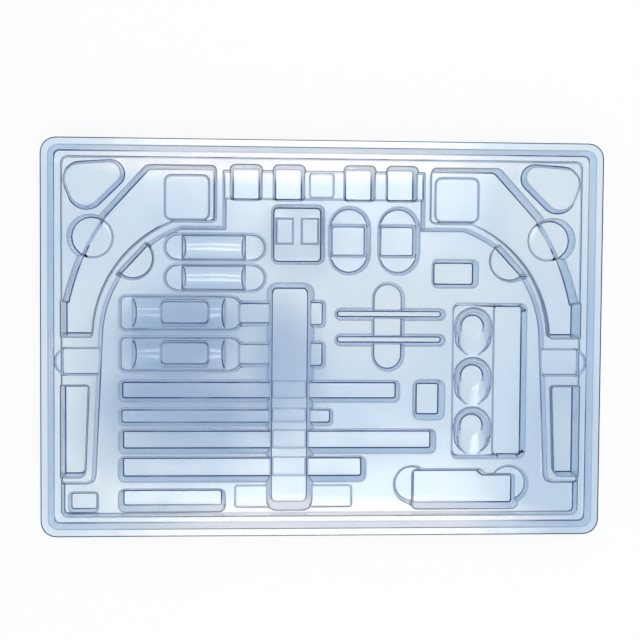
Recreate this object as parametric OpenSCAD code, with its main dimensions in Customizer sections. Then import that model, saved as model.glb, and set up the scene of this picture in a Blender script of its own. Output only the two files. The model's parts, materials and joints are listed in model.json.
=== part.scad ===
// Vacuum formed kit tray, one sheet of clear plastic drawn over a mould.
// The origin is at the middle of the footprint, on the surface the tray stands on.
// +X runs along the long side, +Y to the row of four small square pockets, +Z is up.

/* [Sheet] */
// Thickness of the formed sheet
sheet = 1.0; // [0.6:0.1:1.4]
// Draft of the pocket walls from the vertical, in degrees
draft = 12; // [8:1:14]
// Draft of the steep walls: rim opening, curved and side pockets
steep_draft = 5; // [3:1:8]
// Radius of the corners at the floor of a pocket
floor_r = 1.6; // [1:0.1:2.5]

/* [Rim] */
// Length of the tray over the flange
tray_l = 400; // [396:1:420]
// Width of the tray over the flange
tray_w = 282; // [278:1:300]
// Corner radius of the flange
flange_r = 11; // [8:1:14]
// Width of the flat flange
flange_w = 5.5; // [4:0.5:7]
// Height of the rim wall, from the ledge to the flange
rim_h = 8; // [6:0.5:12]
// How far the rim wall leans in over its height
rim_run = 3; // [2:0.5:4]
// Distance from the ends of the tray to the opening inside the ledge
end_margin = 14; // [13:0.5:15]
// Distance from the long sides of the tray to the opening inside the ledge
side_margin = 13; // [12:0.5:14]
// Corner radius of the opening
opening_r = 3; // [2:0.5:5]
// Step from the ledge down to the platform
ledge_step = 2; // [1.5:0.5:4]

/* [Platform] */
// Depth of the deepest pockets below the middle floor
full_depth = 14; // [13:0.5:18]
// Height of the platform above the middle floor
platform_h = 6; // [5:0.5:9]
// Lean of the platform wall from the vertical, in degrees
platform_lean = 16; // [10:1:18]
// Radius of the curved inner edge of the platform
curve_r = 86.3; // [85.5:0.1:87]
// Width of a side arm of the platform where the curve ends
arm_w = 25.7; // [25:0.1:26.5]
// Y of the centre of that curve
curve_y = -2; // [-4:0.5:0]
// Half width between the straight inner ends of the platform
inner_x = 72.3; // [71.5:0.1:73]
// Y of the platform edge under the inner ends
inner_y = 79.5; // [78.5:0.5:80]
// Distance from the ends of the side arms to the near edge of the opening
arm_gap = 24; // [21:0.5:25]
// Width of the side arms at their ends
arm_end_w = 21.2; // [20.5:0.1:22]
// Width of the platform band along the far edge of the opening
band_w = 8.6; // [7.5:0.1:9.5]
// Distance from the far edge of the opening to the end of the low terrace
terrace_w = 28.2; // [27:0.1:29.5]
// Height of the terrace above the middle floor
terrace_h = 3; // [2:0.5:4.5]
// How far the corner bosses stay below the flange
boss_drop = 0.5; // [0:0.5:3]
// Lean of the boss walls from the vertical, in degrees
boss_lean = 10; // [6:1:14]

/* [Curved pockets] */
// Width of the rim that is left between a curved pocket and the platform edge
rim_gap = 5.3; // [4.5:0.1:6]
// The same gap under the straight inner ends
end_gap = 3.6; // [3:0.1:4.5]
// Depth of the curved pockets below the platform
curved_depth = 17; // [15:0.5:18]
// Distance from the curved pockets to the far edge of the opening
curved_gap = 5.4; // [5:0.1:6.5]
// Y where the curved pockets end at the sides
curved_end = 0.8; // [-1:0.1:3]
// Radius of the outer curve of the pockets
outer_r = 172.5; // [171.5:0.1:173]
// How far a full circle of that radius would reach past the side of the opening
outer_reach = 2.5; // [2:0.1:3]
// Y of the centre of the outer curve
outer_y = -9.8; // [-11:0.1:-9]
// Angles where the outer curve starts and where it turns into the straight diagonal
outer_turn = [12, 34.8]; // [11:0.1:36]
// Distance from the side of the opening to where the diagonal would meet the far edge
diagonal_in = 59.5; // [58:0.1:61]
// Depth of the square inset in the floor of a curved pocket
inset_depth = 2; // [1:0.5:2.5]
// Side of that square inset
inset_side = 32; // [28:1:34]
// Gaps from the inset to the inner and the far edge of the pocket
inset_gap = [5.2, 5.6]; // [4:0.1:7]
// Radius of the finger recesses on the curved pockets
finger_r = 15.5; // [14:0.1:15.8]
// Distance of the full round finger recesses from the side of the opening
finger_in = 19.3; // [19:0.1:20.5]
// Y of the full round finger recesses
finger_y = 71.6; // [70:0.1:73]
// Depth of the full round finger recesses below the platform
finger_depth = 13; // [11:0.5:15]
// Depth of the round dip where such a recess lies over the pocket floor
dip_depth = 1.5; // [1:0.5:2.5]
// Angle at which the half round finger recesses sit on the curve of the platform
half_turn = 42.8; // [40:0.1:46]
// Depth of the half round finger recesses below the middle floor
half_depth = 8; // [6:0.5:10]

/* [Side pockets] */
// Distance from the pockets in the side arms to the near edge of the opening
arm_pocket_gap = 28; // [27:0.1:29]
// Y where those pockets start
arm_pocket_y = -34.6; // [-36:0.1:-33]
// Widths of those pockets, at the arm end and at their start
arm_pocket_w = [15.8, 18.1]; // [15:0.1:19]
// Depth of those pockets below the platform
arm_pocket_depth = 12; // [9:0.5:15]
// Length of a side notch inside the opening
notch_l = 33.2; // [30:0.1:36]
// Width of the side notches
notch_w = 18.9; // [17:0.1:20]
// Y of the middle of the side notches
notch_y = -17; // [-18:0.1:-16]
// Depth of the side notches below the platform
notch_depth = 4; // [3:0.5:4.5]
// How far the round end of a notch reaches into the ledge
notch_out = 5; // [3:0.1:5]
// Depth of the round end of a notch in the ledge
notch_end_depth = 2.6; // [1.5:0.1:3]

/* [Top row] */
// Size of the four small square pockets
cell = [21.6, 24.6]; // [18:0.1:26]
// Distance of the inner and outer cells from the middle line
cell_x = [25.4, 56]; // [24:0.1:58]
// Distance of the middle of the cells from the far edge of the opening
cell_gap = 17.1; // [16:0.1:18]
// Depth of the cells below the terrace
cell_depth = 11; // [8:0.5:13]
// Draft of the cells from the vertical, in degrees
cell_draft = 7; // [5:0.5:10]
// Size of the shallow label field on the terrace
label_field = [17, 17]; // [12:0.5:18]
// X of the label field, and its distance from the far edge of the opening
label_place = [-1.8, 18.4]; // [-3:0.1:20]
// Depth of shallow fields
field_depth = 1.5; // [1:0.1:2.5]

/* [Middle pockets] */
// Size of the large square pocket
large = [37, 41.5]; // [34:0.5:43]
// Place of the large square pocket
large_at = [-18.5, 74.6]; // [-20:0.1:76]
// Size of the two supports on its floor
support = [12.6, 18.8]; // [11:0.1:20]
// Height of the two supports
support_h = 2; // [1:0.5:3]
// Distance of the supports from the middle of the pocket, towards the top row
support_up = 2.6; // [0:0.1:5]
// Size of the round ended finger recesses of the two block pockets
block_finger = [29.6, 49]; // [28:0.1:50]
// Size of the block pockets
block = [26.4, 23.4]; // [24:0.2:28]
// X of the two block pockets
block_x = [18.8, 54.6]; // [18:0.1:55]
// Y of the block pockets
block_y = 70.4; // [69:0.1:72]
// Depth of the block finger recesses
block_finger_depth = 7; // [5:0.5:8]
// Depth of the block pockets below the middle floor
block_depth = 13; // [10:0.5:13]
// Size of the small rectangular pocket
small_a = [33.1, 19.8]; // [30:0.1:35]
// Place of the small rectangular pocket
small_a_at = [96.2, 47]; // [45:0.1:98]
// Size of the small upright pocket
small_b = [22.8, 29.1]; // [20:0.1:30]
// Place of the small upright pocket
small_b_at = [77.8, -45.1]; // [-46:0.1:79]
// Draft of the small upright pocket from the vertical, in degrees
small_b_draft = 18; // [12:1:20]
// Depth of the small pockets
small_depth = 10; // [7:0.5:13]

/* [Troughs] */
// Size of the round ended recess of a vial
vial_end = [73.4, 19.8]; // [70:0.1:74]
// Depth of that recess
vial_end_depth = 5; // [3:0.5:6]
// Radius of a vial trough
vial_r = 8.4; // [7.5:0.1:9]
// X range of a vial trough
vial_body = [-102.2, -56.2]; // [-105:0.1:-54]
// Depth of a vial trough
vial_depth = 11; // [9:0.5:12]
// Y of the two vials
vial_y = [64.9, 43]; // [42:0.1:65]
// X of the middle of the vials
vial_x = -78.2; // [-79:0.1:-77]
// Size of a bottle pocket
bottle = [88, 25.4]; // [84:0.1:90]
// Left end of the bottle pockets and long slots
left_x = -146.7; // [-148:0.1:-145]
// Y of the two bottles
bottle_y = [17.4, -12.4]; // [-13:0.1:18]
// Radius of a bottle trough
bottle_r = 11.2; // [10.5:0.1:11.4]
// X range of a bottle trough, from the left end
bottle_body = [8, 77]; // [6:0.1:79]
// Depth of a bottle trough
bottle_depth = 12.4; // [11:0.1:13]
// Lean of the ends of the troughs from the vertical, in degrees
trough_lean = 17; // [10:1:22]
// Corner radius of a bottle pocket at its neck end
shoulder_r = 8; // [6:0.5:9]
// Depth of the shoulder of a bottle pocket
shoulder_depth = 5; // [3:0.5:7]
// Size of the finger recess under a bottle
bottle_finger = [37.5, 19.5]; // [34:0.1:40]
// Distance of its middle from the left end
bottle_finger_x = 46.5; // [42:0.5:50]
// Width of the neck troughs
neck_w = 17.2; // [15:0.1:19]
// Size of the neck ends beyond the bar slot, measured from its middle line
neck_end = [25, 19.2]; // [17:0.1:27]
// Depth of the neck troughs and of their ends
neck_depth = 7; // [5:0.5:8]

/* [Slots] */
// Width of the upright bar slot
bar_w = 33.3; // [32:0.1:35]
// X of the middle of the bar slot
bar_x = -23.6; // [-25:0.1:-22]
// Y of the far end of the bar slot
bar_top = 39.4; // [38:0.1:40]
// Distance from the bar slot to the near edge of the opening
bar_gap = 2.6; // [2:0.1:4]
// Lean of the bar slot walls from the vertical, in degrees
bar_lean = 16; // [10:1:18]
// Depth of the shallow grooves across the floor of the bar slot
groove_depth = 1; // [0.5:0.1:1.5]
// Distance from the ends of those grooves to the walls of the bar slot
groove_gap = 1; // [0.5:0.1:2]
// Lengths of the long slots, from the top down
slot_l = [202.7, 154, 229.6, 178.4, 76.3]; // [70:0.1:232]
// Widths of the long slots
slot_w = [15.2, 12, 17.1, 17.9, 16]; // [11:0.1:18]
// Distances of the long slots from the near edge of the opening
slot_up = [89.1, 70.3, 52.6, 32.4, 9.8]; // [9:0.1:90]
// Depths of the long slots
slot_depth = [9, 7, 11, 11, 12]; // [5:0.5:13]
// Size of the shallow field at the end of the bar slot
shallow = [84.5, 15.4]; // [80:0.1:86]
// X of the shallow field, and its distance from the near edge of the opening
shallow_place = [-20.7, 12.7]; // [-22:0.1:14]
// Size of the upright round ended recess
cross = [22.7, 64.2]; // [20:0.1:66]
// Place of that recess
cross_at = [47.5, 8.2]; // [7:0.1:49]
// Depth of that recess
cross_depth = 6; // [4:0.5:7]
// Size of the two narrow slots across it
narrow = [80, 7.9]; // [7.5:0.1:82]
// X of the middle of the narrow slots
narrow_x = 49; // [46:0.1:51]
// Y of the two narrow slots
narrow_y = [17.2, -1.5]; // [-2:0.1:18]
// Depth of the narrow slots
narrow_depth = 9; // [7.5:0.5:11]
// Size of the lower left corner pocket
corner_cell = [20.7, 14]; // [18:0.1:22]
// Distances of its middle from the side and the near edge of the opening
corner_cell_in = [14.1, 8.8]; // [8:0.1:16]

/* [Hook pocket] */
// Size of the pocket that holds the three tilted seats
hook = [54, 113.2]; // [50:0.1:115]
// Place of the middle of that pocket
hook_at = [122, -31.4]; // [-32:0.1:123]
// Depth of that pocket
hook_depth = 9; // [8:0.5:12]
// Width of the bed under the seats
bed_w = 30; // [29.5:0.1:31]
// Height of the bed above the pocket floor
bed_h = 2; // [1.5:0.5:3]
// Radius of the round end of a seat, at the top of its lip
seat_r = 11; // [10:0.1:11.2]
// Y of the round end of the first seat
seat_y = 8.2; // [8:0.1:8.6]
// Distance from one seat to the next
seat_pitch = 36.6; // [36:0.1:36.8]
// Length over which the floor of a seat rises to the bed
seat_l = 11.5; // [10:0.5:11.5]
// Lean of the wall of a seat from the vertical, in degrees
seat_lean = 16; // [10:1:18]
// Height of the lip around the round end, above the bed
lip_h = 5; // [4:0.5:6]
// Length over which that lip runs down into the bed
lip_l = 7.5; // [6:0.5:9]
// Width of that lip
lip_w = 2.4; // [2.2:0.1:2.6]
// Depth of a seat below the bed at its round end
seat_depth = 4; // [3:0.5:5]

/* [Lower right pocket] */
// X range of the long pocket
long_x = [65.8, 144.2]; // [64:0.1:146]
// Distances from the near edge of the opening to its lower, stepped and upper edge
long_up = [3, 28.4, 32]; // [2:0.1:33]
// X range of the sloped part of its upper edge
long_step_x = [116.5, 120.6]; // [115:0.1:123]
// Depth of the long pocket
long_depth = 12; // [10:0.5:13]
// X of the two finger circles at its ends
long_finger_x = [66.3, 138.1]; // [64:0.1:140]
// Distance of the finger circles from the near edge of the opening
long_finger_up = 20.7; // [20:0.1:22]
// Radius of the finger circles
long_finger_r = 13.8; // [12:0.1:15]
// Depth of the finger circles
long_finger_depth = 6; // [4:0.5:8]

/* [Hidden] */
// Facets of a full circle at small corners and on round pockets, and steps along the curves
corner_n = 12;
round_n = 20;
curve_steps = 12;
// Distances of the three rounded corners of a boss from the edges of the opening, and radii
boss_in = [[34, 11.8], [13, 15.8], [17, 23.7]];
boss_r = [8.2, 10.8, 11.6];
over = 1;
tint = [0.72, 0.83, 0.94, 0.45];

floor_z = sheet + full_depth;
terrace_z = floor_z + terrace_h;
platform_z = floor_z + platform_h;
ledge_z = platform_z + ledge_step;
flange_z = ledge_z + rim_h;
boss_z = flange_z - boss_drop;
full_z = sheet;
curved_z = platform_z - curved_depth;
opening_l = tray_l - 2 * end_margin;
opening_w = tray_w - 2 * side_margin;
right_x = opening_l / 2;
far_y = opening_w / 2;
// The outer walls of the pockets at the sides reach just past the opening, up to the ledge
side_x = right_x + 0.4;
curve_at = [right_x - arm_w - curve_r, curve_y];
arm_end = arm_gap - far_y;
arm_x = right_x - arm_end_w;
curved_top = far_y - curved_gap;
outer_at = [right_x + outer_reach - outer_r, outer_y];
finger_at = [right_x - finger_in, finger_y];
cell_y = far_y - cell_gap;
bed_z = floor_z - hook_depth + bed_h;
bed_x = hook_at.x - hook.x / 2 + bed_w / 2 + 1;
tight_r = 3.2;
// How far the neck troughs reach into the bottle pocket and into the bar slot
neck_overlap = 3;

function unit(v) = v / norm(v);
function normal(a, b) = let (u = unit(b - a)) [u.y, -u.x];

// An outline, anticlockwise, moved out by d on all its sides
function grown(p, d) = [
    for (i = [0:len(p) - 1])
        let (
            a = p[(i + len(p) - 1) % len(p)],
            b = p[i],
            c = p[(i + 1) % len(p)],
            m = normal(a, b),
            n = normal(b, c)
        )
        b + d * (m + n) / (1 + m * n)
];
// Points of an arc about c from angle a to angle b in n steps
function arc(c, r, a, b, n) = [
    for (i = [0:n])
        let (t = a + (b - a) * i / n)
        c + r * [cos(t), sin(t)]
];
// A rounded corner at p, which turns from angle a to angle b
function corner(p, r, a, b, n = 3) = let (
    h = (a + b) / 2,
    c = p - r / cos((b - a) / 2) * [cos(h), sin(h)]
) arc(c, r, a, b, n);

// Solid between two rings of points, which run anticlockwise seen from the second ring
module between(first, second) {
    n = len(first);
    sides = [for (i = [0:n - 1]) [i, i + n, (i + 1) % n + n, (i + 1) % n]];
    polyhedron(
        concat(first, second),
        concat([[for (i = [0:n - 1]) i]], sides, [[for (i = [n - 1:-1:0]) i + n]])
    );
}

// Solid between the outline at the height low and the same outline, moved out, at the height high
module loft(outline, low, high, grow_low, grow_high) {
    between(
        [for (q = grown(outline, grow_low)) [q.x, q.y, low]],
        [for (q = grown(outline, grow_high)) [q.x, q.y, high]]
    );
}

// Recess of any outline, given at the height top
module cut(outline, top, bottom, in, lean = draft, above = over) {
    side = in / cos(lean);
    low = bottom - in;
    high = top + above;
    loft(outline, low, high, side - (top - low) * tan(lean), side + (high - top) * tan(lean));
}

// Raised part of any outline, given at the height top
module raised(outline, top, bottom, in, lean) {
    side = -in / cos(lean);
    high = top - in;
    loft(outline, bottom, high, side + (top - bottom) * tan(lean), side + in * tan(lean));
}

// Hull of upright cones that follow the walls of a recess
module cones(centres, radii, top, bottom, in, lean, above, n) {
    low = bottom - in;
    high = top + above;
    hull() for (i = [0:len(centres) - 1]) {
        at_floor = radii[i] - (top - bottom) * tan(lean);
        translate([centres[i].x, centres[i].y, low])
            cylinder(
                h = high - low,
                r1 = at_floor + in / cos(lean) - in * tan(lean),
                r2 = radii[i] + in / cos(lean) + above * tan(lean),
                $fn = n
            );
    }
}

// Rounded rectangular recess, its size given at the height top
module pocket(at, size, top, bottom, in, r = floor_r, lean = draft, above = over, n = corner_n) {
    wide = r + (top - bottom) * tan(lean);
    x = size.x / 2 - wide;
    y = size.y / 2 - wide;
    cones(
        [for (sx = [-1, 1], sy = [-1, 1]) at + [sx * x, sy * y]],
        [wide, wide, wide, wide], top, bottom, in, lean, above, n
    );
}

// Recess with two half round ends
module pill(at, size, top, bottom, in, lean = draft) {
    r = min(size.x, size.y) / 2;
    reach = [size.x / 2 - r, size.y / 2 - r];
    cones([at - reach, at + reach], [r, r], top, bottom, in, lean, over, round_n);
}

module round_cut(at, r, top, bottom, in, lean = draft, above = over) {
    cones([at], [r], top, bottom, in, lean, above, round_n);
}

// Upright ring of points about the x axis, which leans by slope
function ring(x, y, z, r, slope) = [
    for (i = [0:round_n - 1])
        let (a = 360 * i / round_n)
        [x + slope * r * sin(a), y + r * cos(a), z + r * sin(a)]
];

// Lying half round trough along x, with leaning ends
module trough(x0, x1, y, r, bottom, in) {
    slope = tan(trough_lean);
    reach = in / cos(trough_lean);
    between(
        ring(x0 - reach, y, bottom + r, r + in, -slope),
        ring(x1 + reach, y, bottom + r, r + in, slope)
    );
}

module on_both_sides() {
    children();
    mirror([1, 0, 0]) children();
}

// Block under the flange, with the rim wall, the ledge and the opening
module rim_block(in) {
    beyond = in > 0 ? 3 : 0;
    low = in > 0 ? -3 : -1;
    size = [tray_l + 2 * beyond, tray_w + 2 * beyond];
    rim_lean = atan(rim_run / rim_h);
    difference() {
        hull() for (sx = [-1, 1], sy = [-1, 1])
            translate([sx * (size.x / 2 - flange_r), sy * (size.y / 2 - flange_r), low])
                cylinder(h = flange_z - in - low, r = flange_r, $fn = round_n);
        pocket(
            [0, 0], [tray_l - 2 * flange_w, tray_w - 2 * flange_w],
            flange_z, ledge_z, in, r = 4, lean = rim_lean, n = round_n
        );
        pocket(
            [0, 0], [opening_l, opening_w],
            ledge_z, floor_z, in, r = opening_r, lean = steep_draft
        );
    }
}

// Right half of the platform edge, from the far end of the arm to the middle of the top band
function platform_edge() = let (
    top_a = asin((inner_y - curve_at.y) / curve_r)
) concat(
    [[tray_l, arm_end]],
    arm_corner([arm_x, arm_end], 4),
    arc(curve_at, curve_r, 0, top_a, curve_steps),
    [[inner_x, inner_y], [inner_x, far_y - band_w]]
);
// The corner at the end of an arm, cut off in two steps
function arm_corner(p, r) = [p + [r, 0], p + [r * 0.3, r * 0.3], p + [0, r]];

module platform(in) {
    edge = platform_edge();
    outline = concat(
        [for (i = [len(edge) - 1:-1:0]) edge[i]],
        [[tray_l, tray_w], [-tray_l, tray_w]],
        [for (q = edge) [-q.x, q.y]]
    );
    intersection() {
        raised(outline, platform_z, 0, in, platform_lean);
        size = [opening_l, opening_w] + 2 * (over + in) * [1, 1];
        translate([-size.x / 2, -size.y / 2, -over])
            cube([size.x, size.y, flange_z]);
    }
}

module terrace(in) {
    x = inner_x + over;
    y = far_y - terrace_w;
    outline = [[-x, y], [x, y], [x, far_y + over], [-x, far_y + over]];
    raised(outline, terrace_z, 0, in, draft);
}

// Outline of the right curved pocket at the platform
function curved_outline() = let (
    r = curve_r + rim_gap,
    left = inner_x + rim_gap,
    low_y = inner_y + end_gap
) concat(
    [[side_x, curved_end], [side_x, outer_y + outer_r * sin(outer_turn.x)]],
    arc(outer_at, outer_r, outer_turn.x, outer_turn.y, 8),
    corner([right_x - diagonal_in, curved_top], 6, 45, 90),
    corner([left, curved_top], tight_r, 90, 180),
    corner([left, low_y], tight_r, 180, 270),
    arc(
        curve_at, r,
        asin((low_y - curve_at.y) / r), asin((curved_end - curve_at.y) / r), curve_steps
    )
);

module curved_pocket(in) {
    cut(curved_outline(), platform_z, curved_z, in, steep_draft, ledge_step + over);
    inset_x = inner_x + rim_gap + inset_gap.x + inset_side / 2;
    inset_y = curved_top - inset_gap.y - inset_side / 2;
    pocket(
        [inset_x, inset_y], [inset_side, inset_side],
        curved_z, curved_z - inset_depth, in, r = 4
    );
    round_cut(finger_at, finger_r, platform_z, platform_z - finger_depth, in, steep_draft);
    intersection() {
        round_cut(finger_at, finger_r - over, curved_z, curved_z - dip_depth, in);
        cut(curved_outline(), platform_z, curved_z - dip_depth, in, steep_draft);
    }
}

// Half round finger recess against the platform wall
module half_finger(in) {
    at = curve_at + curve_r * [cos(half_turn), sin(half_turn)];
    outline = arc(at, finger_r, half_turn + 90, half_turn + 270, curve_steps);
    cut(outline, platform_z, floor_z - half_depth, in, steep_draft);
}

module boss(in) {
    lean = boss_lean;
    hull() for (i = [0:2]) {
        r = boss_r[i] - in / cos(lean);
        translate([right_x - boss_in[i].x, far_y - boss_in[i].y, floor_z])
            cylinder(
                h = boss_z - in - floor_z,
                r1 = r + (boss_z - floor_z) * tan(lean),
                r2 = r + in * tan(lean),
                $fn = round_n
            );
    }
}

module arm_pocket(in) {
    end = arm_pocket_gap - far_y;
    outline = concat(
        [[side_x, end], [side_x, arm_pocket_y]],
        corner([right_x - arm_pocket_w.y, arm_pocket_y], 2.5, 90, 180),
        corner([right_x - arm_pocket_w.x, end], 4, 180, 270)
    );
    cut(outline, platform_z, platform_z - arm_pocket_depth, in, steep_draft, ledge_step + over);
}

// Side notch: a step through the platform and a round end in the ledge
module notch(in) {
    start = right_x - notch_l;
    pocket(
        [(side_x + start) / 2, notch_y], [side_x - start, notch_w],
        platform_z, platform_z - notch_depth, in, lean = steep_draft, above = ledge_step + over
    );
    round_cut(
        [right_x + notch_out - notch_w / 2, notch_y], notch_w / 2,
        ledge_z, ledge_z - notch_end_depth, in, steep_draft
    );
}

module top_row(in) {
    clear = platform_z - terrace_z + over;
    for (x = [-cell_x.y, -cell_x.x, cell_x.x, cell_x.y])
        pocket(
            [x, cell_y], cell,
            terrace_z, terrace_z - cell_depth, in, lean = cell_draft, above = clear
        );
    pocket(
        [label_place.x, far_y - label_place.y], label_field,
        terrace_z, terrace_z - field_depth, in
    );
}

module middle_pockets(in) {
    difference() {
        pocket(large_at, large, floor_z, full_z, in, r = 3, lean = steep_draft);
        for (s = [-1, 1])
            translate([large_at.x + s * large.x / 4, large_at.y + support_up, full_z - 2 * in - over])
                linear_extrude(support_h + in + over)
                    square([support.x - 2 * in, support.y - 2 * in], center = true);
    }
    for (x = block_x) {
        pill([x, block_y], block_finger, floor_z, floor_z - block_finger_depth, in);
        pocket([x, block_y], block, floor_z - block_finger_depth, floor_z - block_depth, in);
    }
    pocket(small_a_at, small_a, floor_z, floor_z - small_depth, in);
    pocket(small_b_at, small_b, floor_z, floor_z - small_depth, in, lean = small_b_draft);
}

module vial(y, in) {
    pill([vial_x, y], vial_end, floor_z, floor_z - vial_end_depth, in);
    trough(vial_body.x, vial_body.y, y, vial_r, floor_z - vial_depth, in);
}

module bottle_pocket(y, in) {
    x0 = left_x;
    x1 = x0 + bottle.x;
    half = bottle.y / 2;
    outline = concat(
        corner([x1, y - half], shoulder_r, -90, 0),
        corner([x1, y + half], shoulder_r, 0, 90),
        corner([x0, y + half], shoulder_r / 2, 90, 180),
        corner([x0, y - half], shoulder_r / 2, 180, 270)
    );
    cut(outline, floor_z, floor_z - shoulder_depth, in);
    trough(x0 + bottle_body.x, x0 + bottle_body.y, y, bottle_r, floor_z - bottle_depth, in);
    pocket(
        [x0 + bottle_finger_x, y], bottle_finger,
        floor_z - shoulder_depth, full_z, in, r = 3
    );
    neck_x = [x1 - neck_overlap, bar_x + neck_overlap];
    pocket(
        [(neck_x.x + neck_x.y) / 2, y], [neck_x.y - neck_x.x, neck_w],
        floor_z, floor_z - neck_depth, in
    );
    pocket([bar_x + neck_end.x / 2, y], neck_end, floor_z, floor_z - neck_depth, in);
}

module slots(in) {
    bar_y = [bar_gap - far_y, bar_top];
    bar_z = full_z + groove_depth;
    pocket(
        [bar_x, (bar_y.x + bar_y.y) / 2], [bar_w, bar_y.y - bar_y.x],
        floor_z, bar_z, in, r = 3.5, lean = bar_lean, n = round_n
    );
    // The first four slots go on as grooves in the floor of the bar slot
    groove_x = bar_w / 2 - (floor_z - bar_z) * tan(bar_lean) - groove_gap;
    for (i = [0:3]) {
        y = slot_up[i] - far_y;
        half = slot_w[i] / 2 - slot_depth[i] * tan(draft);
        cut(
            [
                [bar_x - groove_x, y - half], [bar_x + groove_x, y - half],
                [bar_x + groove_x, y + half], [bar_x - groove_x, y + half]
            ],
            bar_z, full_z, in
        );
    }
    for (i = [0:len(slot_l) - 1])
        pocket(
            [left_x + slot_l[i] / 2, slot_up[i] - far_y], [slot_l[i], slot_w[i]],
            floor_z, floor_z - slot_depth[i], in
        );
    pocket(
        [shallow_place.x, shallow_place.y - far_y], shallow,
        floor_z, floor_z - field_depth, in
    );
    pill(cross_at, cross, floor_z, floor_z - cross_depth, in);
    for (y = narrow_y) pill([narrow_x, y], narrow, floor_z, floor_z - narrow_depth, in);
    pocket(
        [corner_cell_in.x - right_x, corner_cell_in.y - far_y], corner_cell,
        floor_z, floor_z - cross_depth, in
    );
}

// Two upright cones, at the round end of a seat and at a distance from it
module seat_hull(y, far, r, lean, low, far_low, high, far_high) {
    hull() {
        translate([bed_x, y, low])
            cylinder(h = high - low, r1 = r - (high - low) * tan(lean), r2 = r, $fn = round_n);
        translate([bed_x, y - far, far_low])
            cylinder(
                h = far_high - far_low, r1 = r - (far_high - far_low) * tan(lean), r2 = r, $fn = round_n
            );
    }
}

// The raised lip around the round end of a seat, which runs down into the bed
module lip(y, in) {
    foot = floor_z - hook_depth;
    seat_hull(
        y, lip_l, seat_r + lip_w - in / cos(draft / 2), -draft / 2,
        foot, foot, bed_z + lip_h - in, bed_z - in
    );
}

// The floor of a seat rises from its round end and runs out at the bed
module seat(y, in) {
    top = bed_z + lip_h;
    r = seat_r + in / cos(seat_lean);
    seat_hull(y, seat_l, r, seat_lean, bed_z - seat_depth - in, bed_z - in, top, top);
    seat_hull(y, seat_l, r, 0, top - 0.01, top - 0.01, top + over, top + over);
}

module hook_pocket(in) {
    bottom = floor_z - hook_depth;
    deep_x = hook.x - bed_w;
    difference() {
        pocket(hook_at, hook, floor_z, bed_z, in, r = 2.5);
        for (i = [0:2]) lip(seat_y - i * seat_pitch, in);
    }
    pocket([hook_at.x + bed_w / 2, hook_at.y], [deep_x, hook.y], floor_z, bottom, in, r = 2.5);
    for (i = [0:2]) seat(seat_y - i * seat_pitch, in);
}

module long_pocket(in) {
    y = [for (up = long_up) up - far_y];
    outline = concat(
        corner([long_x.y, y[0]], 4, -90, 0),
        corner([long_x.y, y[1]], 4, 0, 90),
        [[long_step_x.y, y[1]], [long_step_x.x, y[2]]],
        corner([long_x.x, y[2]], 4, 90, 180),
        corner([long_x.x, y[0]], 4, 180, 270)
    );
    cut(outline, floor_z, floor_z - long_depth, in);
    for (x = long_finger_x)
        round_cut(
            [x, long_finger_up - far_y], long_finger_r,
            floor_z, floor_z - long_finger_depth, in
        );
}

// Everything under one skin of the sheet: the upper skin, or the lower one at the depth in
module form(in) {
    difference() {
        union() {
            rim_block(in);
            platform(in);
            terrace(in);
            on_both_sides() boss(in);
        }
        on_both_sides() {
            curved_pocket(in);
            half_finger(in);
            arm_pocket(in);
            notch(in);
        }
        top_row(in);
        middle_pockets(in);
        for (y = vial_y) vial(y, in);
        for (y = bottle_y) bottle_pocket(y, in);
        slots(in);
        hook_pocket(in);
        long_pocket(in);
    }
}

module tray() {
    color(tint)
        difference() {
            form(0);
            form(sheet);
        }
}

tray();
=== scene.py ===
# %% [markdown]
# A clear kit tray, vacuum formed from one sheet.
# The real tray is a thin sheet of clear plastic with a pale blue tint, drawn warm over a mould.
# Its whole look comes from three things: the bends, which are round and catch the light, the
# thin wall that light passes almost straight through, and the tint, which deepens where the
# sheet is seen along its length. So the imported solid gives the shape, and this script rounds
# the bends, gives the wall its thickness again and builds the plastic.

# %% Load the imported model
import json
import math

import bpy
from mathutils.bvhtree import BVHTree
from mathutils.kdtree import KDTree
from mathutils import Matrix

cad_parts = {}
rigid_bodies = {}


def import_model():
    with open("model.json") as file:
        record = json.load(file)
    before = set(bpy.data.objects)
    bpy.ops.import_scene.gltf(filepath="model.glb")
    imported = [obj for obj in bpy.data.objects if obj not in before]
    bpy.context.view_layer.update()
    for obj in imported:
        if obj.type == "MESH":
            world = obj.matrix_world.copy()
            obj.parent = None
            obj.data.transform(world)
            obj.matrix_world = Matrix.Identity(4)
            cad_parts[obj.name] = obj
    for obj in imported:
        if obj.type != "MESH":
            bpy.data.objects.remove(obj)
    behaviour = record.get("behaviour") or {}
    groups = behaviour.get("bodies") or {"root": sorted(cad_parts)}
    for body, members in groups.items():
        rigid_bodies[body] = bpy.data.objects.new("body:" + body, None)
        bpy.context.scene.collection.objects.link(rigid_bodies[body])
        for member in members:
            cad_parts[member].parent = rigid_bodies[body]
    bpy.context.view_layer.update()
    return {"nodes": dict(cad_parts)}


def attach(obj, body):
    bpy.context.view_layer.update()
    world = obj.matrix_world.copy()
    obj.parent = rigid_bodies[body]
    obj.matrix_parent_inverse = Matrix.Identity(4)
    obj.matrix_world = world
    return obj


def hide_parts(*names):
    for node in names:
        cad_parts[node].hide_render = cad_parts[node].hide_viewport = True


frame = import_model()
scene = bpy.context.scene
scene.view_settings.view_transform = "Standard"

# %% [markdown]
# The camera comes first, because every later look is judged through it.
# The tray was photographed from almost straight above. A few degrees of tilt make its left
# side a little longer in the picture than its right side. The place and the turn below put
# the four corners of the flange where the picture has them, in a square frame of 640 pixels.

# %% Camera
CAMERA_PLACE = (-0.0607, 0.0546, 0.9384)
CAMERA_TURN = (-2.602, -3.602, 0.416)

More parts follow.
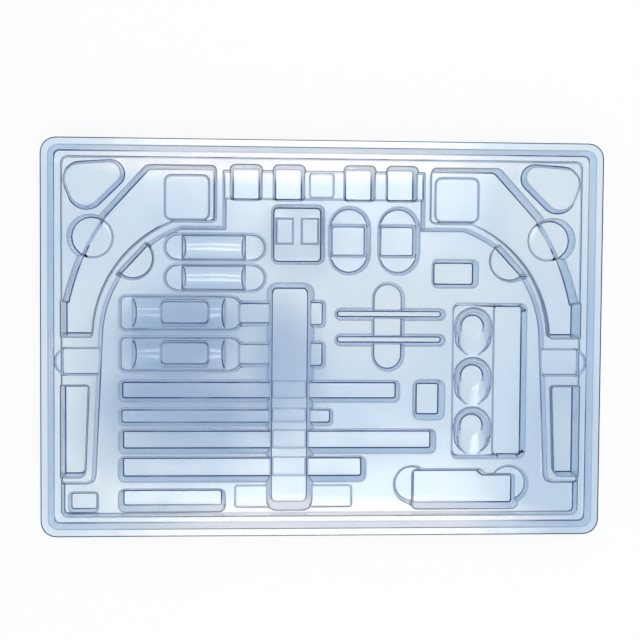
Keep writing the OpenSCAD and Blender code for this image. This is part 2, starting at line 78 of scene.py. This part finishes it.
bpy.ops.object.camera_add(
    location=CAMERA_PLACE, rotation=[math.radians(angle) for angle in CAMERA_TURN]
)
camera = bpy.context.active_object
camera.name = "camera"
camera.data.lens = 72
camera.data.sensor_width = 36
scene.camera = camera
print("camera is", round(CAMERA_PLACE[2] * 1000), "mm above the table")

# %% [markdown]
# Shader maths reads best as plain sums, so a small class wraps a socket.
# A sum or a product of wrapped sockets adds the Math node that does it, and `node` adds any
# other node from its type, its settings and its sockets.

# %% A wrapper for sockets
class Wire:
    def __init__(self, paint, socket):
        self.paint = paint
        self.socket = socket

    def maths(self, operation, *values):
        return self.paint.node("ShaderNodeMath", {"operation": operation}, dict(enumerate(values)))

    def __add__(self, other):
        return self.maths("ADD", self, other)

    def __sub__(self, other):
        return self.maths("SUBTRACT", self, other)

    def __rsub__(self, other):
        return self.maths("SUBTRACT", other, self)

    def __mul__(self, other):
        return self.maths("MULTIPLY", self, other)

    def __truediv__(self, other):
        return self.maths("DIVIDE", self, other)

    def __pow__(self, other):
        return self.maths("POWER", self, other)

    def held(self):
        return self.paint.node("ShaderNodeClamp", {}, {"Value": self})

    __radd__ = __add__
    __rmul__ = __mul__


class Paint:
    def __init__(self, name):
        self.material = bpy.data.materials.new(name)
        self.material.use_nodes = True
        self.tree = self.material.node_tree
        self.tree.nodes.clear()

    def node(self, kind, settings=None, sockets=None, out=0):
        made = self.tree.nodes.new(kind)
        for name, value in (settings or {}).items():
            setattr(made, name, value)
        for name, value in (sockets or {}).items():
            if isinstance(value, Wire):
                self.tree.links.new(value.socket, made.inputs[name])
            else:
                made.inputs[name].default_value = value
        return Wire(self, made.outputs[out]) if len(made.outputs) else made

    def mixed(self, share, low, high):
        mix = self.tree.nodes.new("ShaderNodeMix")
        mix.data_type = "RGBA"
        for slot, value in ((0, share), (6, low), (7, high)):
            if isinstance(value, Wire):
                self.tree.links.new(value.socket, mix.inputs[slot])
            else:
                mix.inputs[slot].default_value = value
        return Wire(self, mix.outputs[2])

    def finish(self, shader):
        self.node("ShaderNodeOutputMaterial", {}, {"Surface": shader})
        return self.material


print("wrapper ready")

# %% [markdown]
# The tray stands on a plain white table.
# The camera, and a ray that has passed the plastic, see a table that is nearly as bright as
# pure white. A small part of what they see is the lit surface, so the tray keeps its shadow.

# %% Table
bpy.ops.mesh.primitive_plane_add(size=6, location=(0, 0, -0.0004))
table = bpy.context.active_object
table.name = "table"

paint = Paint("white_table")
lit = paint.node("ShaderNodeBsdfDiffuse", {}, {"Color": (0.9, 0.9, 0.9, 1)})
glow = paint.node("ShaderNodeEmission", {}, {"Color": (1, 1, 1, 1), "Strength": 1.03})
seen = paint.node("ShaderNodeMixShader", {}, {0: 0.8, 1: lit, 2: glow})
ray = paint.tree.nodes.new("ShaderNodeLightPath")
straight = Wire(paint, ray.outputs["Is Camera Ray"]) + Wire(paint, ray.outputs["Is Transmission Ray"])
either = paint.node("ShaderNodeMixShader", {}, {0: straight.held(), 1: lit, 2: seen})
table.data.materials.append(paint.finish(either))
print("table laid")

# %% [markdown]
# Two soft boxes hang above the far and the near side of the tray, out of the camera's view.
# The flat plastic mirrors them only in the bands along these sides, which turn milky white; the
# plastic's colour there also has a painted lamp glare.
# The space between, where the camera is, stays dark in the mirror and shows the blue tint.
# A lamp's power is worked out from how bright its face is, because that is what a mirror shows.

# %% Lamps and world
LAMPS = (
    ("far_box", (0.09, 0.41, 1.35), (0.62, 0.55), 4.5),
    ("near_box", (0.08, -0.56, 1.35), (0.66, 0.5), 4.5),
)
for name, place, size, brightness in LAMPS:
    bpy.ops.object.light_add(type="AREA", location=place)
    lamp = bpy.context.active_object
    lamp.name = name
    lamp.data.shape = "RECTANGLE"
    lamp.data.size, lamp.data.size_y = size
    lamp.data.energy = brightness * math.pi * size[0] * size[1]
    aim = -lamp.location
    lamp.rotation_euler = aim.to_track_quat("-Z", "Y").to_euler()

world = bpy.data.worlds.new("room")
world.use_nodes = True
scene.world = world
sky = world.node_tree.nodes["Background"]
sky.inputs["Color"].default_value = (0.92, 0.96, 1, 1)
sky.inputs["Strength"].default_value = 0.6
print(len(LAMPS), "lamps")

# %% [markdown]
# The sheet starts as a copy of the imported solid, because its shape is already right.
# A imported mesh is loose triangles, so its doubles are merged first. The solid has an upper
# and a lower skin, joined by a narrow edge around the flange. Without that edge the two skins
# are separate, and only the upper one is kept: its bends can be rounded on their own.

# %% Copy the upper skin
def only(piece):
    bpy.ops.object.select_all(action="DESELECT")
    piece.select_set(True)
    bpy.context.view_layer.objects.active = piece


def edit(mode, action="DESELECT"):
    bpy.ops.object.mode_set(mode="EDIT")
    bpy.ops.mesh.select_mode(type=mode)
    bpy.ops.mesh.select_all(action=action)


def leave_edit():
    bpy.ops.object.mode_set(mode="OBJECT")


sheet = bpy.data.objects.new("formed_sheet", frame["nodes"]["tray"].data.copy())
scene.collection.objects.link(sheet)
only(sheet)
edit("VERT", "SELECT")
bpy.ops.mesh.remove_doubles(threshold=1e-5)
leave_edit()
rim_top = max(corner.co.z for corner in sheet.data.vertices)
edit("FACE")
leave_edit()
for face in sheet.data.polygons:
    face.select = abs(face.normal.z) < 0.01 and face.center.z > rim_top - 0.0011
bpy.ops.object.mode_set(mode="EDIT")
bpy.ops.mesh.delete(type="FACE")
bpy.ops.mesh.select_mode(type="VERT")
leave_edit()
max(sheet.data.vertices, key=lambda corner: corner.co.z).select = True
bpy.ops.object.mode_set(mode="EDIT")
bpy.ops.mesh.select_linked()
bpy.ops.mesh.select_all(action="INVERT")
bpy.ops.mesh.delete(type="VERT")
bpy.ops.mesh.select_all(action="SELECT")
bpy.ops.mesh.remove_doubles(threshold=0.00012)
bpy.ops.mesh.dissolve_limited(angle_limit=math.radians(1.5))
leave_edit()
sheet.data.materials.clear()
print("upper skin:", len(sheet.data.vertices), "corners,", len(sheet.data.polygons), "faces")

# %% [markdown]
# The flange was cut with a steel rule, and its cut edge shows as a thin dark line all around, which
# is painted on here as shade.
# An inset of the whole skin makes a narrow ring of faces there. Three material slots, empty
# for now, keep apart the plain faces, the bends and this ring.

# %% The cut edge of the flange
CUT_EDGE = 0.0006
PLAIN, BENT, CUT = range(3)

for slot in range(3):
    sheet.data.materials.append(None)
edit("FACE", "SELECT")
bpy.ops.mesh.inset(thickness=CUT_EDGE, use_boundary=True)
leave_edit()
for face in sheet.data.polygons:
    face.material_index = PLAIN if face.select else CUT
print(sum(face.material_index == CUT for face in sheet.data.polygons), "faces along the cut edge")

# %% [markdown]
# A warm sheet never folds sharply: each bend has a radius of about the sheet's own thickness.
# A Bevel modifier rounds the bends. Where two bends run close together, as on the steps of the
# shallow fields, a full bevel would fold over itself. So each edge gets a weight, and it is
# smaller where the next bend is near. Points along the bends, kept in a tree, find that out,
# and each keeps the painted shade of its bend: darkest at the floor of a deep pocket, pale at a
# mouth and faint on a low step.

# %% Weigh the bends
BEND = 0.0006
# Share of the distance to the next bend that a bend may take, and how far that one is looked for
CLOSE_SHARE = 0.38
LOOK_FOR = 2.4 * BEND
# Distance between the points along a bend
POINT_STEP = 0.0008
# How dark the painted shade of a mouth and a low step is, beside the floor of a pocket as deep as
# HIGH_STEP
MOUTH_SHADE = 0.1
LOW_SHADE = 0.12
LOW_STEP, HIGH_STEP = 0.0015, 0.010
SHARP_ANGLE = math.radians(34)
SHARP = math.cos(SHARP_ANGLE)

mesh = sheet.data
sides = {}
for face in mesh.polygons:
    ring = list(face.vertices)
    for a, b in zip(ring, ring[1:] + ring[:1]):
        sides.setdefault((min(a, b), max(a, b)), []).append((face, a, b))
bends = [
    edge for edge in mesh.edges
    if len(sides.get(edge.key, ())) == 2
    and sides[edge.key][0][0].normal.dot(sides[edge.key][1][0].normal) < SHARP
]
points = []
shades = []
for edge in bends:
    (one, start, end), (other, *rest) = sides[edge.key]
    a, b = mesh.vertices[start].co, mesh.vertices[end].co
    steps = max(1, int((b - a).length / POINT_STEP))
    along = (b - a).normalized()
    points += [(a.lerp(b, i / steps), edge, along) for i in range(steps + 1)]
    # The ring of a face runs anticlockwise, so this points from the edge into the first face
    inward = one.normal.cross(along)
    hollow = inward.dot(other.normal) > 0
    steeper = min(one, other, key=lambda face: abs(face.normal.z))
    heights = [mesh.vertices[i].co.z for i in steeper.vertices]
    rise = (max(heights) - min(heights) - LOW_STEP) / (HIGH_STEP - LOW_STEP)
    shade = LOW_SHADE + (1 - LOW_SHADE) * min(1.0, max(0.0, rise))
    shades += [shade * (1.0 if hollow else MOUTH_SHADE)] * (steps + 1)
tree = KDTree(len(points))
for i, (point, edge, along) in enumerate(points):
    tree.insert(point, i)
tree.balance()
room = {edge.index: 1.0 for edge in bends}
for point, edge, along in points:
    for found, i, distance in tree.find_range(point, LOOK_FOR):
        other = points[i][1]
        beside = abs((found - point).dot(along)) < 0.55 * distance
        if beside and not set(other.vertices) & set(edge.vertices):
            room[edge.index] = min(room[edge.index], distance)
weights = mesh.attributes.new("bevel_weight_edge", "FLOAT", "EDGE")
for edge in bends:
    weights.data[edge.index].value = min(1.0, CLOSE_SHARE * room[edge.index] / BEND)
print(len(bends), "bends,", sum(r < LOOK_FOR for r in room.values()), "of them close together")

# %% Round the bends
skin = BVHTree.FromPolygons(
    [corner.co.copy() for corner in mesh.vertices], [list(face.vertices) for face in mesh.polygons]
)
flat_faces = len(mesh.polygons)
bevel = sheet.modifiers.new("bends", "BEVEL")
bevel.width = BEND
bevel.segments = 3
bevel.limit_method = "WEIGHT"
bevel.use_clamp_overlap = False
bevel.loop_slide = False
bevel.material = BENT
bpy.ops.object.modifier_apply(modifier=bevel.name)
mesh = sheet.data
moved = 0
for corner in mesh.vertices:
    place, normal, face, distance = skin.find_nearest(corner.co)
    if distance > 0.5 * BEND:
        corner.co = place
        moved += 1
print(flat_faces, "faces before,", len(mesh.polygons), "after,", moved, "corners put back")

# %% [markdown]
# The floor of the tray is one huge face with many fingers, which Blender may fill badly.
# Cuts along a grid make small faces of it, and these are split into triangles.

# %% Cut the large faces
GRID = 0.02
# The grid lies a little off the middle, where the sheet has bends on it
GRID_SHIFT = 0.0003
GRID_REACH = (0.2, 0.14)

for axis, reach in enumerate(GRID_REACH):
    for step in range(-int(reach / GRID), int(reach / GRID) + 1):
        edit("VERT", "SELECT")
        place, across = [0, 0, 0], [0, 0, 0]
        place[axis], across[axis] = step * GRID + GRID_SHIFT, 1
        bpy.ops.mesh.bisect(plane_co=place, plane_no=across)
        leave_edit()
edit("FACE", "SELECT")
bpy.ops.mesh.quads_convert_to_tris(quad_method="BEAUTY", ngon_method="BEAUTY")
leave_edit()
mesh = sheet.data
turned = [face for face in mesh.polygons if face.normal.z < -0.05]
print(len(mesh.polygons), "triangles,", len(turned), "turned over,",
      round(sum(face.area for face in turned) * 1e6), "mm2")

# %% [markdown]
# The bends look darker than the flats, because light that enters there runs along inside the
# sheet, and this darkness is painted on as shade. The stretched plastic on a bend is also a little
# hazy. The painted shade is darkest at the bends at the floor of a pocket and pale at its mouth,
# and the cut edge of the flange gets a thin painted dark line. A wall is seen along its length,
# so it gets a painted deeper tint than a flat. Four values on the mesh say this, and the plastic
# reads them later.

# %% Mark the bends, the cut edge and the walls
MARKS = ("bend", "haze", "steep", "cut")
HAZE = 0.85

for name in MARKS:
    mesh.attributes.new(name, "FLOAT", "FACE")
bend, haze, steep, cut_mark = (mesh.attributes[name].data for name in MARKS)
for face in mesh.polygons:
    if face.material_index == BENT:
        bend[face.index].value = shades[tree.find(face.center)[1]]
        haze[face.index].value = HAZE
    cut_mark[face.index].value = face.material_index == CUT
    steep[face.index].value = 1 - abs(face.normal.z)
    face.material_index = PLAIN
print("marked", sum(item.value > 0 for item in bend), "faces")
mesh.materials.clear()

# %% Give the sheet its thickness
THICK = 0.001

thickness = sheet.modifiers.new("thickness", "SOLIDIFY")
thickness.thickness = THICK
thickness.offset = -1
thickness.use_even_offset = False
upper_faces = len(mesh.polygons)
bpy.ops.object.modifier_apply(modifier=thickness.name)
# The faces of the lower skin come after those of the upper one, and only the upper one is hazy
for item in sheet.data.attributes["haze"].data[upper_faces:]:
    item.value = 0
bpy.ops.object.shade_smooth_by_angle(angle=SHARP_ANGLE)
flatten = sheet.modifiers.new("normals", "WEIGHTED_NORMAL")
flatten.mode = "FACE_AREA"
flatten.weight = 80
flatten.keep_sharp = True
bpy.ops.object.modifier_apply(modifier=flatten.name)
print("sheet:", len(sheet.data.polygons), "faces")

# %% [markdown]
# The plastic is clear, glossy and faintly blue. Its tint drifts a little from place to place,
# because a warm sheet stretches unevenly. Patches of painted shade make it deepest in the left
# half, where the troughs and the slots lie close together, and along the right side. Along the
# middle of the far and the near side a painted lamp glare turns it milky white. The same
# stretching leaves the flats slightly wavy, and the mould leaves a fine grain, so lamps look soft in
# it.

# %% Plastic
CLEAR = (0.76, 0.86, 0.94, 1)
DEEPER = (0.64, 0.79, 0.94, 1)
# painted shade: the deeper tint of a wall seen along its length
WALL_SHADE = (0.40, 0.57, 0.80, 1)
# painted shade: the colour of the patches of painted shade listed below
PAINTED_SHADE_TINT = (0.38, 0.52, 0.72, 1)
# painted shade: the colours of the dark lines along the bends
BEND_SHADE = (0.05, 0.11, 0.38, 1)
PALE_BEND_SHADE = (0.50, 0.64, 0.84, 1)
DARK_BEND_SHADE = (0.02, 0.05, 0.19, 1)
# painted shade: the thin dark line of the cut edge
CUT_EDGE_SHADE = (0.01, 0.02, 0.08, 1)
# painted reflection: the milky white of the painted lamp glare
PAINTED_GLARE = (0.93, 0.94, 0.98, 1)
# How much of the painted shade of a bend or a wall is lost under the painted lamp glare
LOST_IN_GLARE = 0.85
# A patch has its full depth up to its middle part and fades to nothing a little past its size
PATCH_EDGE = 1.4
# Scales of the drift of the tint, of the waves in the flats and of the grain
DRIFT, WAVES, GRAIN = 9, 28, 260
# Middle and half size of soft patches of painted shade, a deeper tint, and how deep each one is
PAINTED_SHADE_PATCHES = (
    ((-0.085, -0.020), (0.085, 0.060), 0.55),
    ((-0.105, 0.0025), (0.040, 0.030), 0.45),
    ((-0.112, -0.065), (0.065, 0.042), 0.48),
    ((-0.016, 0.070), (0.030, 0.030), 0.3),
    ((-0.094, 0.096), (0.030, 0.030), 0.15),
    ((-0.024, -0.035), (0.026, 0.060), 0.30),
    ((0.180, -0.090), (0.040, 0.075), 0.35),
)
# The same for the patches of painted lamp glare
PAINTED_GLARE_PATCHES = (
    ((-0.020, 0.128), (0.150, 0.016), 0.85),
    ((0.010, -0.131), (0.150, 0.014), 0.9),
)

paint = Paint("clear_sheet")
OBJECT_COORDINATES = 3
place = paint.node("ShaderNodeTexCoord", {}, {}, out=OBJECT_COORDINATES)
drift = paint.node("ShaderNodeTexNoise", {}, {"Vector": place, "Scale": DRIFT, "Detail": 2})
grain = paint.node("ShaderNodeTexNoise", {}, {"Vector": place, "Scale": GRAIN, "Detail": 2})
waves = paint.node("ShaderNodeTexNoise", {}, {"Vector": place, "Scale": WAVES, "Detail": 1})
axes = [paint.node("ShaderNodeSeparateXYZ", {}, {"Vector": place}, out=i) for i in range(2)]


def patches(listed):
    total = 0.0
    for middle, half, depth in listed:
        away = sum(((axis - at) / reach) ** 2 for axis, at, reach in zip(axes, middle, half))
        total = total + (PATCH_EDGE - away).held() * depth
    return total.held()


bend_shade_mark, haze_mark, steep_mark, cut_edge = (
    paint.node("ShaderNodeAttribute", {"attribute_name": name}, {}, out=2) for name in MARKS
)
# painted reflection: a mask of the painted lamp glare along the far and the near side
glare_mask = patches(PAINTED_GLARE_PATCHES)
plain = 1 - glare_mask * LOST_IN_GLARE
tint_and_shade = paint.mixed(((drift - 0.35) * 3).held(), CLEAR, DEEPER)
# painted shade: a deeper tint in the patches of painted shade
tint_and_shade = paint.mixed(patches(PAINTED_SHADE_PATCHES), tint_and_shade, PAINTED_SHADE_TINT)
# painted reflection: the plastic turns milky white under the painted lamp glare
tint_and_shade = paint.mixed(glare_mask, tint_and_shade, PAINTED_GLARE)
# painted shade: steep walls get a deeper tint, less under the painted lamp glare
tint_and_shade = paint.mixed((steep_mark * (0.3 + drift) * plain).held(), tint_and_shade, WALL_SHADE)
# painted shade: the bends turn darker, most at the floor of a deep pocket
bend_shade = (bend_shade_mark * (0.2 + waves * 1.8) * plain).held()
tint_and_shade = paint.mixed(bend_shade, tint_and_shade, BEND_SHADE)
# painted shade: the thin dark line along the cut edge of the flange
tint_and_shade = paint.mixed(cut_edge, tint_and_shade, CUT_EDGE_SHADE)
height = waves * 0.8 + grain * 0.012
bump = paint.node("ShaderNodeBump", {}, {"Height": height, "Strength": 1.0, "Distance": 0.0006})
plastic = paint.node(
    "ShaderNodeBsdfPrincipled", {},
    {
        "Base Color": tint_and_shade, "Transmission Weight": 1.0, "IOR": 1.5, "Roughness": 0.16,
        "Normal": bump,
    },
)
# painted shade: the colour of the hazy plastic on the bends
line_shade = paint.mixed(bend_shade, PALE_BEND_SHADE, DARK_BEND_SHADE)
hazy = paint.node(
    "ShaderNodeBsdfPrincipled", {}, {"Base Color": line_shade, "IOR": 1.5, "Roughness": 0.28}
)
both = paint.node("ShaderNodeMixShader", {}, {0: haze_mark * plain, 1: plastic, 2: hazy})
sheet.data.materials.append(paint.finish(both))
print("plastic made")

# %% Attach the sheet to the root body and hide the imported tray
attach(sheet, "root")
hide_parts("tray")
